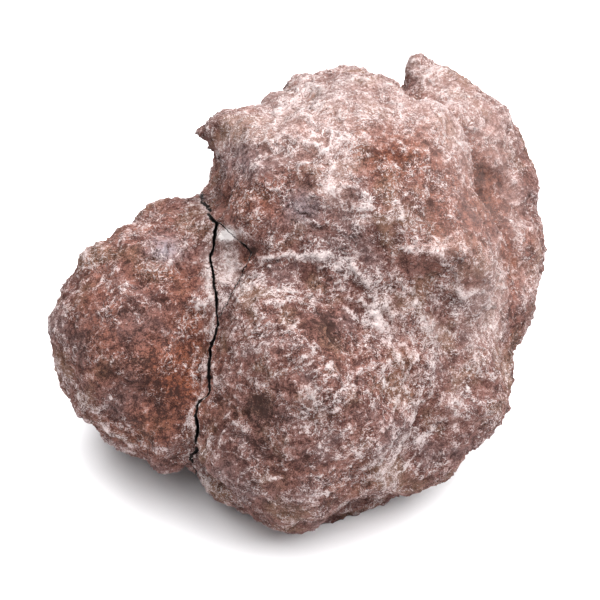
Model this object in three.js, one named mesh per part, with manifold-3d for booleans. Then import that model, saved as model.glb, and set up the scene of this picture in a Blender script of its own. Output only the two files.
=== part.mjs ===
// A closed amethyst geode, as it was dug up: a lumpy nodule of brown rind that has cracked through.
// Units are millimetres, +Z is up and the stone rests on z = 0. The origin is the middle of its footprint.
//
// The stone is laid out as the eye saw it: "across" to the right, "up" the picture and "toward" the eye,
// measured from the middle of its picture. It is then laid back until its underside is level.
import * as THREE from "three";
import { mergeVertices } from "three/addons/utils/BufferGeometryUtils.js";
import Module from "manifold-3d";

const wasm = await Module();
wasm.setup();

// How the stone was seen.
const EYE_ELEVATION_DEG = 45; // how steeply the eye looks down on it
const EYE_DISTANCE = 600; // from the eye to the stone's middle

// The surface.
const SKIN_DETAIL = 18; // splits of each edge of the starting icosahedron
const EVENING_ROUNDS = 5; // how often the skin's vertices are evened out
const KNOB_DETAIL = 3; // splits of each edge of a knob's icosahedron
const KNOB_LUMPS = 0.12; // share of a knob's size that each mm of lump adds
const LOBE_BLEND = 1.6; // how softly one lobe runs into the next
const OUTER_REACH = 90; // a distance from the middle that is outside the stone everywhere
const OUTLINE_DIRECTIONS = 72; // the outline is compared in directions 5 degrees apart
const OUTLINE_SOFTENING = [0.12, 0.22, 0.32, 0.22, 0.12]; // shares of neighbouring directions
const OUTLINE_ROUNDS = 3; // how often the stone is fitted to the outline
const OUTLINE_FADE = [-38, -12]; // "toward" where the outline begins to shape the stone and does so fully
const OUTLINE_RIM = [0.5, 0.95]; // the same, as a share of the way out to the rim
const LUMPS = [
  { size: 25, height: 2.5 },
  { size: 13, height: 2.6 },
  { size: 6.5, height: 1.3 },
];
const LUMP_SWELL = 0.15; // how far the lumps stand out on average, as a share of their height
const REST_CUT = -32.5; // height of the level resting face, before the stone is moved onto z = 0

// The rounded lobes that the nodule grew as: centre [across, up, toward], half-widths in the same order,
// a turn about the line of sight, and a lean about the across direction.
const LOBES = [
  { name: "core", at: [3, 0, -6], size: [34, 40, 31], lean: -45 },
  { name: "lower middle", at: [1, -18.5, 14], size: [19.5, 25, 21], turn: -6 },
  { name: "upper middle", at: [-1, 17, 12], size: [17, 18, 19], turn: 10 },
  { name: "upper shoulder", at: [4, 31, 0], size: [13, 10, 15], turn: -8 },
  { name: "crown", at: [7, 35.2, -4], size: [10, 10.4, 11] },
  { name: "right dome", at: [15.8, 13, 10], size: [20.8, 27, 19], turn: 6 },
  { name: "lower right", at: [26, -17.2, 2.5], size: [13.5, 18.4, 18], turn: -10 },
  { name: "far upper", at: [31.4, 27, -19], size: [13.8, 18.4, 15], turn: 36 },
  { name: "far middle", at: [38, 11, -17], size: [10, 11.5, 14], turn: -10 },
  { name: "far lower", at: [35.5, -2, -12], size: [9.5, 10, 13] },
  { name: "left", at: [-30, -7.5, 3], size: [17.5, 23, 20], turn: -14 },
  { name: "left crown", at: [-25, 12.4, 0.5], size: [8.6, 9.2, 11], turn: 20 },
  { name: "left foot", at: [-30.5, -22, -5], size: [12.5, 10, 14], turn: -30 },
  { name: "left heel", at: [-25, -19, 7], size: [9, 12.5, 14] },
  { name: "underside", at: [0.5, -28, -5], size: [19.5, 17, 16] },
  { name: "lower heel", at: [-12.4, -32, 2], size: [8, 7.6, 10] },
  { name: "back", at: [6, 14, -27], size: [27, 22, 16] },
  { name: "back left", at: [-17, -3, -22], size: [16, 20, 17], turn: 15 },
  { name: "back right", at: [19, -11, -19], size: [17, 18, 17], turn: -10 },
];

// Small knobs that stand out from the lobes, given in the same way.
const KNOBS = [
  { name: "spur", at: [-8.6, 33.9, 1], size: [11.8, 3.7, 8], turn: 1 },
  { name: "under the spur", at: [-9.4, 30, 2], size: [8.4, 5.5, 8], turn: -14 },
  { name: "far tip", at: [24.1, 47.4, -17], size: [1.8, 3, 3], turn: -4 },
  { name: "under the tip", at: [26.8, 44.5, -17], size: [4.7, 3.2, 5], turn: -10 },
  { name: "far crest", at: [31.2, 40.4, -16], size: [8.8, 5.1, 6.5], turn: -32 },
  { name: "step", at: [-3.6, 31.4, 0], size: [5.6, 7.6, 8] },
  { name: "upper corner", at: [2.8, 40.2, -3], size: [5.2, 5, 7], turn: -6 },
];

// The outline of the stone's picture without its knobs, [across, up], from the left end round over the top.
const OUTLINE = [
  [-50.8, -5], [-48, 3], [-45, 8], [-42, 11], [-38.6, 13.6], [-34.4, 16.2], [-30, 18.6], [-26.8, 21.8],
  [-22.2, 22.4], [-19.2, 20.8], [-18, 24], [-17.6, 27], [-17.4, 30], [-15.6, 34], [-12, 37],
  [-7.5, 39.4], [-3, 42], [1, 45.4], [6, 47], [12, 46.2], [17, 45], [23, 45.4], [28, 46], [33, 44.4],
  [37, 41], [41.8, 38.8], [44.4, 34.6],
  [45.4, 29], [47.2, 24], [48.6, 19.5], [51, 14.5], [49.2, 9], [47.4, 5], [48.8, -0.5], [46.8, -4],
  [43, -9], [43, -15], [43, -21], [40, -25], [36.5, -28.4], [33, -31], [30, -35], [25.8, -38.8],
  [19.8, -39.6], [14.4, -41.8], [9, -43], [4, -46.4], [-2, -47.2], [-6, -46], [-10.6, -42.4], [-17, -40.2],
  [-19.8, -37.8], [-21.8, -33.4], [-23.4, -34.2], [-26.5, -35.2], [-29.5, -34.4], [-33, -32.6], [-37, -29],
  [-41, -26], [-44.6, -23], [-47.6, -18], [-49.8, -14], [-50.2, -9],
];

// Hollows, ledges and rises on the side that was seen: centre [across, up], half-widths, height (minus for a
// hollow) and turn.
const MARKS = [
  { name: "dished hollow", at: [25.5, 3], size: [7.5, 4.5], height: -2.3, turn: 0 },
  { name: "brow over the hollow", at: [25, 9.4], size: [7, 2.4], height: 1.6, turn: -6 },
  { name: "pocket by the splinter", at: [-9.2, 9.4], size: [2.6, 2.2], height: -1.8, turn: 0 },
  { name: "crest of the lower lobe", at: [12, 6], size: [12, 1.8], height: 0.9, turn: -16 },
  { name: "crest fork", at: [20.5, -2.5], size: [5, 2.4], height: 1.1, turn: -40 },
  { name: "step under the left lobe", at: [-42, -21], size: [12, 2], height: -1.5, turn: -42 },
  { name: "pale knob on the left lobe", at: [-27.5, 9.5], size: [3.4, 3], height: 0.8, turn: 0 },
];

// The crack that parts the stone, down the side that was seen: [across, up] as pictured, and "toward".
const CRACK = [
  [-32, 60, -20], [-25, 26, -18], [-21, 21.6, -8], [-19.6, 20.5, -3], [-18.8, 18.8, 5], [-17.7, 17.1, 13],
  [-16.2, 15.1, 17], [-17.3, 12.1, 17.5], [-17.9, 8.7, 18], [-17.6, 3, 20], [-16.8, 0, 22.5],
  [-16.5, -3.1, 23.5], [-17.8, -9.4, 23], [-18.2, -12.8, 23.5], [-18.2, -18.7, 24], [-20.3, -20.7, 23],
  [-21.2, -23.5, 22], [-20.6, -25.7, 21], [-20.1, -29.5, 16], [-21.5, -31.5, 12], [-21.2, -33, 8],
  [-24, -60, -10],
];
const CRACK_WIDTH = 0.5;
const CRACK_LEAN = 0.13; // how far the crack strays sideways for each mm that it goes in
const CRACK_ROUGHNESS = 0.6;
// The lengths over which the crack's walls ripple inward and up, and how the ripples wander and slant.
const CRACK_RIPPLE = { inward: 2.3, up: 2.7, wander: 2, wanderLength: 3.1, slant: 6 };
// The block that parts the stone: as wide, and as high and deep, and its rows and columns.
const CRACK_BLOCK = { width: 120, side: 112, rows: 40, columns: 14 };

// The three-cornered splinter of rind beside the crack: its corners as pictured, [across, up], and how near
// the eye its top and its underside are.
const SPLINTER = [[-19, 16.6], [-16, 15.2], [-9.6, 9.4], [-13.2, 1.8], [-16, -3.2], [-19, -4]];
const SPLINTER_TOP = 22;
const SPLINTER_FLOOR = 15.5;
const SPLINTER_GAP = 0.32;
const SPLINTER_CORNER_GROWTH = 1.6; // how far a corner moves out for each mm of gap
const SPLINTER_REACH = 40; // depth of the prism that cuts the splinter, past the rind

const RIND_COLOUR = 0x9a766d;
const SPLINTER_COLOUR = 0xb8a099;

const NOISE_GAIN = 1.6; // brings the noise up to about -1 to 1
const NOISE_SEEDS = [12.9898, 78.233, 37.719]; // unrelated factors that give each corner its own seed
const SLOPE_SEEDS = [0, 1.7, 4.1]; // what parts the seeds of a corner's slopes along the three axes
const SCATTER = 43758.5453; // large enough to scatter neighbouring seeds
const NOISE_CORNERS = [0, 1, 2, 3, 4, 5, 6, 7].map((n) => [n & 1, (n >> 1) & 1, n >> 2]);
const { clamp, degToRad: degrees, lerp, smoothstep } = THREE.MathUtils;

// A point of the stone as it appears in the picture.
function pictured(point) {
  const scale = EYE_DISTANCE / (EYE_DISTANCE - point.z);
  return new THREE.Vector2(point.x * scale, point.y * scale);
}

// Distance from a point to the skin of the joined lobes, minus inside.
const lobes = LOBES.map(({ at, size, turn = 0, lean = 0 }) => ({
  centre: new THREE.Vector3(...at),
  size: new THREE.Vector3(...size),
  unturn: new THREE.Quaternion()
    .setFromEuler(new THREE.Euler(degrees(lean), 0, degrees(turn), "ZXY"))
    .invert(),
}));

function lobeDistance(point, { centre, size, unturn }) {
  const local = point.clone().sub(centre).applyQuaternion(unturn).divide(size);
  const reach = local.length();
  const slope = local.divide(size).length();
  return (reach * (reach - 1)) / Math.max(slope, 1e-6);
}

function skinDistance(point) {
  const nearness = lobes.reduce((sum, lobe) => sum + Math.exp(-lobeDistance(point, lobe) / LOBE_BLEND), 0);
  return -LOBE_BLEND * Math.log(Math.max(nearness, 1e-300));
}

// How far the skin is from the stone's middle in one direction.
function skinReach(direction) {
  const step = 1.5;
  let outside = OUTER_REACH;
  while (skinDistance(direction.clone().multiplyScalar(outside - step)) > 0) outside -= step;
  let inside = outside - step;
  for (let halving = 0; halving < 14; halving += 1) {
    const middle = (inside + outside) / 2;
    if (skinDistance(direction.clone().multiplyScalar(middle)) > 0) outside = middle;
    else inside = middle;
  }
  return (inside + outside) / 2;
}

// The outline's distance from the middle of the picture at an angle.
function outlineReach(angle) {
  const ray = new THREE.Vector2(Math.cos(angle), Math.sin(angle));
  let reach = 0;
  OUTLINE.forEach(([ax, ay], i) => {
    const [bx, by] = OUTLINE[(i + 1) % OUTLINE.length];
    const edge = new THREE.Vector2(bx - ax, by - ay);
    const across = ray.x * edge.y - ray.y * edge.x;
    const along = (ax * edge.y - ay * edge.x) / across;
    const share = (ax * ray.y - ay * ray.x) / across;
    if (share >= 0 && share <= 1 && along > reach) reach = along;
  });
  return reach;
}

// Stretches the stone sideways, most at its rim, until its picture fills the outline but for small things.
function fitOutline(points) {
  const bins = OUTLINE_DIRECTIONS;
  const seen = new Array(bins).fill(0);
  const polar = points.map((point) => {
    const spot = pictured(point);
    const turn = (spot.angle() / (2 * Math.PI)) * bins;
    const bin = Math.floor(turn) % bins;
    seen[bin] = Math.max(seen[bin], spot.length());
    return { turn, reach: spot.length() };
  });
  const wanted = seen.map((reach, bin) => outlineReach(((bin + 0.5) / bins) * 2 * Math.PI) / reach);
  const even = wanted.map((_, bin) => {
    const first = bin - (OUTLINE_SOFTENING.length - 1) / 2;
    const near = OUTLINE_SOFTENING.map((share, k) => share * wanted[(first + k + bins) % bins]);
    return near.reduce((sum, value) => sum + value, 0);
  });
  points.forEach((point, i) => {
    const { turn, reach } = polar[i];
    const low = Math.floor(turn - 0.5);
    const [before, after] = [(low + bins) % bins, (low + 1) % bins];
    const between = (list) => lerp(list[before], list[after], turn - 0.5 - low);
    const outward = smoothstep(reach / between(seen), ...OUTLINE_RIM);
    const weight = outward * smoothstep(point.z, ...OUTLINE_FADE);
    const stretch = 1 + (between(even) - 1) * weight;
    point.x *= stretch;
    point.y *= stretch;
  });
}

// Scatters seeds over -1 to 1.
function hash(seed) {
  const value = Math.sin(seed) * SCATTER;
  return 2 * (value - Math.floor(value)) - 1;
}

// Smooth noise from -1 to 1 that varies over about one unit: a random slope at each whole-numbered corner,
// blended in between.
function noise(x, y, z) {
  const [i, j, k] = [Math.floor(x), Math.floor(y), Math.floor(z)];
  const [fx, fy, fz] = [x - i, y - j, z - k];
  const ease = (t) => t * t * t * (t * (t * 6 - 15) + 10);
  const share = (offset, t) => (offset === 1 ? ease(t) : 1 - ease(t));
  let sum = 0;
  for (const [di, dj, dk] of NOISE_CORNERS) {
    const seed = (i + di) * NOISE_SEEDS[0] + (j + dj) * NOISE_SEEDS[1] + (k + dk) * NOISE_SEEDS[2];
    const [alongX, alongY, alongZ] = SLOPE_SEEDS.map((offset) => hash(seed + offset));
    const slope = alongX * (fx - di) + alongY * (fy - dj) + alongZ * (fz - dk);
    sum += share(di, fx) * share(dj, fy) * share(dk, fz) * slope;
  }
  return NOISE_GAIN * sum;
}

// How far the rind's own lumps stand out at a point.
function lumps({ x, y, z }) {
  return LUMPS.reduce((sum, { size, height }) => {
    return sum + height * (noise(x / size, y / size, z / size) + LUMP_SWELL);
  }, 0);
}

function markHeight(point) {
  if (point.z < 0) return 0;
  const spot = pictured(point);
  const origin = new THREE.Vector2();
  return MARKS.reduce((sum, { at, size, height, turn }) => {
    const local = spot.clone().sub(new THREE.Vector2(...at)).rotateAround(origin, -degrees(turn));
    return sum + height * Math.exp(-((local.x / size[0]) ** 2) - (local.y / size[1]) ** 2);
  }, 0);
}

// Each vertex's neighbours on a closed skin.
function neighboursOf(skin) {
  const neighbours = Array.from({ length: skin.getAttribute("position").count }, () => new Set());
  const corners = skin.index.array;
  for (let i = 0; i < corners.length; i += 3) {
    const [a, b, c] = corners.slice(i, i + 3);
    neighbours[a].add(b).add(c);
    neighbours[b].add(a).add(c);
    neighbours[c].add(a).add(b);
  }
  return neighbours.map((set) => [...set]);
}

// The way that leads straight out of the lobes' joint skin at a point.
function skinSlope(point) {
  const step = 0.05;
  const slope = new THREE.Vector3();
  for (const axis of ["x", "y", "z"]) {
    const [ahead, behind] = [point.clone(), point.clone()];
    ahead[axis] += step;
    behind[axis] -= step;
    slope[axis] = (skinDistance(ahead) - skinDistance(behind)) / (2 * step);
  }
  return slope;
}

// Draws the skin over the lobes, then lets its vertices slide along it to space themselves more evenly.
function drapedPoints(directions, neighbours) {
  let points = directions.map((direction) => direction.clone().multiplyScalar(skinReach(direction)));
  for (let round = 0; round < EVENING_ROUNDS; round += 1) {
    points = points.map((_, i) => {
      const middle = neighbours[i].reduce((sum, k) => sum.add(points[k]), new THREE.Vector3());
      return middle.divideScalar(neighbours[i].length);
    });
    points.forEach((point) => {
      const slope = skinSlope(point);
      point.addScaledVector(slope, -skinDistance(point) / slope.lengthSq());
    });
  }
  return points;
}

// The whole stone before it cracked, as a closed skin over an icosahedron.
function wholeStone() {
  const geometry = new THREE.IcosahedronGeometry(1, SKIN_DETAIL);
  geometry.deleteAttribute("normal");
  geometry.deleteAttribute("uv");
  const skin = mergeVertices(geometry, 1e-4);
  const position = skin.getAttribute("position");
  const directions = [];
  for (let i = 0; i < position.count; i += 1) {
    directions.push(new THREE.Vector3().fromBufferAttribute(position, i).normalize());
  }
  const points = drapedPoints(directions, neighboursOf(skin));
  points.forEach((point) => {
    point.addScaledVector(skinSlope(point).normalize(), lumps(point) + markHeight(point));
  });
  for (let round = 0; round < OUTLINE_ROUNDS; round += 1) fitOutline(points);
  points.forEach((point, i) => position.setXYZ(i, point.x, point.y, point.z));
  return skin;
}

// How far across the crack is at a height and a depth. It keeps to the line that was seen, and strays inside.
function crackAcross(up, toward) {
  const scale = EYE_DISTANCE / (EYE_DISTANCE - toward);
  const seenUp = up * scale;
  const below = Math.max(CRACK.findIndex((point) => point[1] <= seenUp), 1);
  const upper = CRACK[below - 1];
  const lower = CRACK[below];
  const share = clamp((upper[1] - seenUp) / (upper[1] - lower[1]), 0, 1);
  const line = lerp(upper[0], lower[0], share);
  const inward = lerp(upper[2], lower[2], share) - toward;
  const wander = CRACK_RIPPLE.wander * Math.sin(up / CRACK_RIPPLE.wanderLength);
  const deep = Math.sin(toward / CRACK_RIPPLE.inward + wander);
  const high = Math.sin(up / CRACK_RIPPLE.up + toward / CRACK_RIPPLE.slant);
  return line / scale + CRACK_LEAN * inward + CRACK_ROUGHNESS * deep * high;
}

function solidFrom(geometry) {
  const bare = geometry.clone();
  bare.deleteAttribute("normal");
  bare.deleteAttribute("uv");
  const merged = mergeVertices(bare, 1e-4);
  return new wasm.Manifold(
    new wasm.Mesh({
      numProp: 3,
      vertProperties: new Float32Array(merged.getAttribute("position").array),
      triVerts: new Uint32Array(merged.index.array),
    }),
  );
}

function geometryFrom(solid) {
  const { vertProperties, triVerts } = solid.getMesh();
  const geometry = new THREE.BufferGeometry();
  geometry.setAttribute("position", new THREE.BufferAttribute(new Float32Array(vertProperties), 3));
  geometry.setIndex(new THREE.BufferAttribute(new Uint32Array(triVerts), 1));
  geometry.computeVertexNormals();
  return geometry;
}

// One of the knobs, as a solid with the rind's lumps on it.
function knobSolid({ at, size, turn = 0 }) {
  const knob = new THREE.IcosahedronGeometry(1, KNOB_DETAIL).scale(...size).rotateZ(degrees(turn));
  const position = knob.getAttribute("position");
  for (let i = 0; i < position.count; i += 1) {
    const out = new THREE.Vector3().fromBufferAttribute(position, i);
    const point = out.clone().add(new THREE.Vector3(...at));
    point.addScaledVector(out, KNOB_LUMPS * lumps(point));
    position.setXYZ(i, point.x, point.y, point.z);
  }
  return solidFrom(knob);
}

// A block that holds everything to the right of the crack.
function blockRightOfCrack() {
  const { width, side, rows, columns } = CRACK_BLOCK;
  const block = new THREE.BoxGeometry(width, side, side, 1, rows, columns);
  const position = block.getAttribute("position");
  for (let i = 0; i < position.count; i += 1) {
    const edge = crackAcross(position.getY(i), position.getZ(i)) + CRACK_WIDTH / 2;
    position.setX(i, position.getX(i) < 0 ? edge : width);
  }
  return solidFrom(block);
}

// The prism of rind that the splinter came out of, grown sideways by a margin.
function splinterPrism(grow) {
  const scale = EYE_DISTANCE / (EYE_DISTANCE - SPLINTER_TOP);
  const corners = SPLINTER.map((corner) => new THREE.Vector2(...corner).divideScalar(scale));
  const sum = corners.reduce((total, corner) => total.add(corner), new THREE.Vector2());
  const middle = sum.divideScalar(corners.length);
  const outline = corners.map((corner) => {
    const away = corner.clone().sub(middle);
    return corner.clone().add(away.setLength(grow * SPLINTER_CORNER_GROWTH));
  });
  const shape = new THREE.Shape(outline);
  const prism = new THREE.ExtrudeGeometry(shape, { depth: SPLINTER_REACH, bevelEnabled: false });
  return solidFrom(prism.translate(0, 0, SPLINTER_FLOOR - grow));
}

const restBlock = (() => {
  const layBack = new THREE.Matrix4().makeRotationX(-degrees(90 - EYE_ELEVATION_DEG));
  const side = 300;
  const block = new THREE.BoxGeometry(side, side, side).translate(0, 0, side / 2 + REST_CUT);
  return solidFrom(block.applyMatrix4(layBack));
})();

const lumpySkin = solidFrom(wholeStone());
const stone = wasm.Manifold.union([lumpySkin, ...KNOBS.map(knobSolid)]).intersect(restBlock);
const toTheRight = blockRightOfCrack();
const rightOfCrack = stone.intersect(toTheRight);
const leftOfCrack = stone.subtract(toTheRight.translate(-CRACK_WIDTH, 0, 0));

const pieces = [
  { name: "geode_body", solid: rightOfCrack.subtract(splinterPrism(SPLINTER_GAP)), colour: RIND_COLOUR },
  { name: "geode_split_piece", solid: leftOfCrack, colour: RIND_COLOUR },
  { name: "rind_splinter", solid: rightOfCrack.intersect(splinterPrism(0)), colour: SPLINTER_COLOUR },
];

const layBack = new THREE.Matrix4().makeRotationX(degrees(90 - EYE_ELEVATION_DEG));
const footprint = new THREE.Box3();
const meshes = pieces.map(({ name, solid, colour }) => {
  const geometry = geometryFrom(solid).applyMatrix4(layBack);
  const material = new THREE.MeshStandardMaterial({ color: colour, roughness: 0.9, metalness: 0 });
  const mesh = new THREE.Mesh(geometry, material);
  mesh.name = name;
  footprint.union(new THREE.Box3().setFromObject(mesh));
  return mesh;
});

const geode = new THREE.Group();
const middle = footprint.getCenter(new THREE.Vector3());
meshes.forEach((mesh) => mesh.position.set(-middle.x, -middle.y, -footprint.min.z));
geode.add(...meshes);

export default geode;
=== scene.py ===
"""Dresses the closed geode: the frame's lumpy stone again, with the rind's relief, dust and grain on it,
and some painted light and shade.

Lengths are millimetres while the stone is shaped, and metres once its pieces are made.
The stone is laid out as it was seen: across to the right, up the picture and toward the eye.
"""
import math

import bmesh
import bpy
import numpy as np
from mathutils import Matrix, Vector
from mathutils.kdtree import KDTree


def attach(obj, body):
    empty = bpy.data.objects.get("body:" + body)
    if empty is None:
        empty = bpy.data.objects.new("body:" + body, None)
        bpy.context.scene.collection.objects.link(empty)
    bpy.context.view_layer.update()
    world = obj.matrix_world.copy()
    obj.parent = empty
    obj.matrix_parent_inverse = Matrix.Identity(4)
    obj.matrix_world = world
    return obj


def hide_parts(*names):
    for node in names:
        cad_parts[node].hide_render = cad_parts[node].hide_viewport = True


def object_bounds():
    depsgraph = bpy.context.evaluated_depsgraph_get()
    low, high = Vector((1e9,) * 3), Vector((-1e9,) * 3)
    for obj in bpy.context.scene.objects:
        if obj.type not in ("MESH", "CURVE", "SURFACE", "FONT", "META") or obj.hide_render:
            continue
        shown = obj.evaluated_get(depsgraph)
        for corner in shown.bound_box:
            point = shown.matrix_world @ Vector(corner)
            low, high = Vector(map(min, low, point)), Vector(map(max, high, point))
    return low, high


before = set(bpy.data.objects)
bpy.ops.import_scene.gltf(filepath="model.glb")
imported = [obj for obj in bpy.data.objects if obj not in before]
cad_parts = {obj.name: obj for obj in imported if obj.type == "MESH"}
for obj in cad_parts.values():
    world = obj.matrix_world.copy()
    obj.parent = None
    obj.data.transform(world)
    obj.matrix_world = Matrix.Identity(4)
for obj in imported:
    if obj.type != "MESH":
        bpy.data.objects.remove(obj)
cad_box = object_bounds()

MM = 0.001

# How the stone was seen, and where the middle of its picture lies in the frame.
EYE_ELEVATION = math.radians(45)
EYE_DISTANCE = 600.0
SENSOR_WIDTH = 36
LENS = 180
PICTURE_MIDDLE = (-0.6, -1.28, 32.5)
REST_CUT = -32.5  # height of the level that the stone rests on, before it is moved onto z = 0

# The lobes that the nodule grew as: centre, half-widths, turn about the line of sight, lean about across.
LOBES = {
    "core": ((3, 0, -6), (34, 40, 31), 0, -45),
    "lower middle": ((1, -18.5, 14), (19.5, 25, 21), -6, 0),
    "upper middle": ((-1, 17, 12), (17, 18, 19), 10, 0),
    "upper shoulder": ((4, 31, 0), (13, 10, 15), -8, 0),
    "crown": ((7, 35.2, -4), (10, 10.4, 11), 0, 0),
    "right dome": ((15.8, 13, 10), (20.8, 27, 19), 6, 0),
    "lower right": ((26, -17.2, 2.5), (13.5, 18.4, 18), -10, 0),
    "far upper": ((31.4, 27, -19), (13.8, 18.4, 15), 36, 0),
    "far middle": ((38, 11, -17), (10, 11.5, 14), -10, 0),
    "far lower": ((35.5, -2, -12), (9.5, 10, 13), 0, 0),
    "left": ((-30, -7.5, 3), (17.5, 23, 20), -14, 0),
    "left crown": ((-25, 12.4, 0.5), (8.6, 9.2, 11), 20, 0),
    "left foot": ((-30.5, -22, -5), (12.5, 10, 14), -30, 0),
    "left heel": ((-25, -19, 7), (9, 12.5, 14), 0, 0),
    "underside": ((0.5, -28, -5), (19.5, 17, 16), 0, 0),
    "lower heel": ((-12.4, -32, 2), (8, 7.6, 10), 0, 0),
    "back": ((6, 14, -27), (27, 22, 16), 0, 0),
    "back left": ((-17, -3, -22), (16, 20, 17), 15, 0),
    "back right": ((19, -11, -19), (17, 18, 17), -10, 0),
}
# Small knobs beside the lobes: centre, half-widths and turn about the line of sight.
KNOBS = {
    "spur": ((-8.6, 33.9, 1), (11.8, 3.7, 8), 1),
    "under the spur": ((-9.4, 30, 2), (8.4, 5.5, 8), -14),
    "far tip": ((24.1, 47.4, -17), (1.8, 3, 3), -4),
    "under the tip": ((26.8, 44.5, -17), (4.7, 3.2, 5), -10),
    "far crest": ((31.2, 40.4, -16), (8.8, 5.1, 6.5), -32),
    "step": ((-3.6, 31.4, 0), (5.6, 7.6, 8), 0),
    "upper corner": ((2.8, 40.2, -3), (5.2, 5, 7), -6),
}
# How far the lobes round off where they meet, and the lumps on them: size and height.
LOBE_BLEND = 1.6
LUMPS = ((25, 2.5), (13, 2.6), (6.5, 1.3))
LUMP_SWELL = 0.15
KNOB_LUMPS = 0.12

# Numbers that scatter the noise's slopes, and the gain that brings it to about -1 to 1.
NOISE_SEEDS = np.array([12.9898, 78.233, 37.719])
SLOPE_SEEDS = (0.0, 1.7, 4.1)
SCATTER = 43758.5453
NOISE_GAIN = 1.6

# The outline of the stone's picture without its knobs, [across, up], from the left end round over the top.
OUTLINE = np.array([
    (-50.8, -5), (-48, 3), (-45, 8), (-42, 11), (-38.6, 13.6), (-34.4, 16.2), (-30, 18.6), (-26.8, 21.8),
    (-22.2, 22.4), (-19.2, 20.8), (-18, 24), (-17.6, 27), (-17.4, 30), (-15.6, 34), (-12, 37),
    (-7.5, 39.4), (-3, 42), (1, 45.4), (6, 47), (12, 46.2), (17, 45), (23, 45.4), (28, 46), (33, 44.4),
    (37, 41), (41.8, 38.8), (44.4, 34.6), (45.4, 29), (47.2, 24), (48.6, 19.5), (51, 14.5), (49.2, 9),
    (47.4, 5), (48.8, -0.5), (46.8, -4), (43, -9), (43, -15), (43, -21), (40, -25), (36.5, -28.4),
    (33, -31), (30, -35), (25.8, -38.8), (19.8, -39.6), (14.4, -41.8), (9, -43), (4, -46.4), (-2, -47.2),
    (-6, -46), (-10.6, -42.4), (-17, -40.2), (-19.8, -37.8), (-21.8, -33.4), (-23.4, -34.2),
    (-26.5, -35.2), (-29.5, -34.4), (-33, -32.6), (-37, -29), (-41, -26), (-44.6, -23), (-47.6, -18),
    (-49.8, -14), (-50.2, -9),
])
# The picture is fitted in this many directions. The fit is evened out over neighbouring ones, fades out
# between two depths, and grows between two shares of the way out to the rim.
OUTLINE_DIRECTIONS = 72
OUTLINE_SOFTENING = (0.12, 0.22, 0.32, 0.22, 0.12)
OUTLINE_ROUNDS = 3
OUTLINE_FADE = (-38, -12)
OUTLINE_RIM = (0.5, 0.95)

# Hollows and rises on the side that was seen: centre, half-widths, height and turn.
MARKS = (
    ((25.5, 3), (7.5, 4.5), -2.3, 0),
    ((25, 9.4), (7, 2.4), 1.6, -6),
    ((-9.2, 9.4), (2.6, 2.2), -1.8, 0),
    ((12, 6), (12, 1.8), 0.9, -16),
    ((20.5, -2.5), (5, 2.4), 1.1, -40),
    ((-42, -21), (12, 2), -1.5, -42),
    ((-27.5, 9.5), (3.4, 3), 0.8, 0),
)

# Narrow ridges of the rind, as lines across the picture, with half-width and height.
RIDGES = (
    (((0, 32.4), (4, 30.5), (6.6, 27.5), (6.3, 25.2)), 0.5, 0.5),
    (((18, 22), (19.2, 19), (20.2, 16.4)), 0.5, 0.5),
    (((-8, 8.6), (-1, 9.2), (4.8, 8.2), (9, 7.6), (12.8, 4.4), (15.4, 0.2), (14.4, -3), (16.6, -5.2)),
     0.8, 0.5),
    (((8.6, -1.2), (12, -4.2), (14.8, -5.6), (16.2, -1.8), (17.4, -0.4)), 0.7, 0.5),
    (((12.4, -7.6), (18.2, -8.6), (20, -12.4)), 0.7, 0.35),
    (((16.5, 0), (18, -3.6), (20.4, -7)), 0.7, 0.25),
    (((21, 9.8), (27.5, 9.4), (31, 5.6), (32.4, 0.5)), 0.8, 0.5),
    (((-12, -6), (-6, -5.2), (-1, -6.4)), 0.8, 0.3),
    (((-12, -9), (-5, -8.6), (3, -10)), 0.8, 0.3),
    (((16, -35), (19, -30), (22, -24), (24, -20)), 0.7, 0.4),
    (((20, -34), (24, -29), (27, -24)), 0.6, 0.35),
    (((-4.4, 37.4), (0, 41), (4, 43)), 0.7, 0.4),
    (((-49, -11), (-46.5, -16), (-42, -21), (-37, -26), (-32, -31)), 0.9, 0.25),
    (((4, 24), (8, 20), (13, 18), (17, 20)), 0.6, 0.25),
    (((28, 24), (31, 16), (33, 8)), 0.8, 0.25),
    (((30, -2), (34, -8), (36, -16)), 0.8, 0.3),
)

# Flaky streaks that run round the lower lobe and along the left lobe's outer edge: their centre, the
# distances from it where they are gone and full, their height, and whether only the outer side has them.
STREAKS = (((1, -16), (34, 22), 0.32, False), ((-22, -6), (19, 25), 0.26, True))
# They mix sharp lines and blunt flakes, and fade out between two depths.
STREAK_TURN = 5.5
SHARP_SIZE = 1.5
SHARP_WIDTH = 0.3
BLUNT_SIZE = 1.1
BLUNT_LEVELS = (0.1, 0.7)
BLUNT_SHARE = 0.6
STREAK_OUTER_SIDE = (0, 200)
STREAK_FADE = (-12, 4)

# The rind's low relief. Knots and net: size, height and noise shift. Bend and wobble: size and reach.
KNOTS = ((4.2, 0.5, 1.3), (2.1, 0.3, 4.7))
FINE_KNOTS = (1.2, 0.14, 7.1)
NET = ((5.5, 0.36, 6.6), (2.8, 0.3, 3.9))
NET_WIDTH = 0.1
FLAKE_STRETCH = np.array([0.8, 1.5, 1.2])
FLAKE_SIZE = 6.0
FLAKE_LEVELS = 2.6
FLAKE_HEIGHT = 0.4
FLAKE_EDGE = 0.22
PIT_SIZE = 1.9
PIT_LEVELS = (0.5, 0.85)
PIT_DEPTH = 0.5
RELIEF_BEND = (3.1, 0.8)
RIDGE_WOBBLE = (2.6, 0.9)
RELIEF_MEAN = 0.15
# How much the streaks, the placed ridges and the flakes count where dust settles, beside the net.
DUSTY_STREAKS = 1.5
DUSTY_RIDGES = 1.2
DUSTY_FLAKES = 0.5

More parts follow.
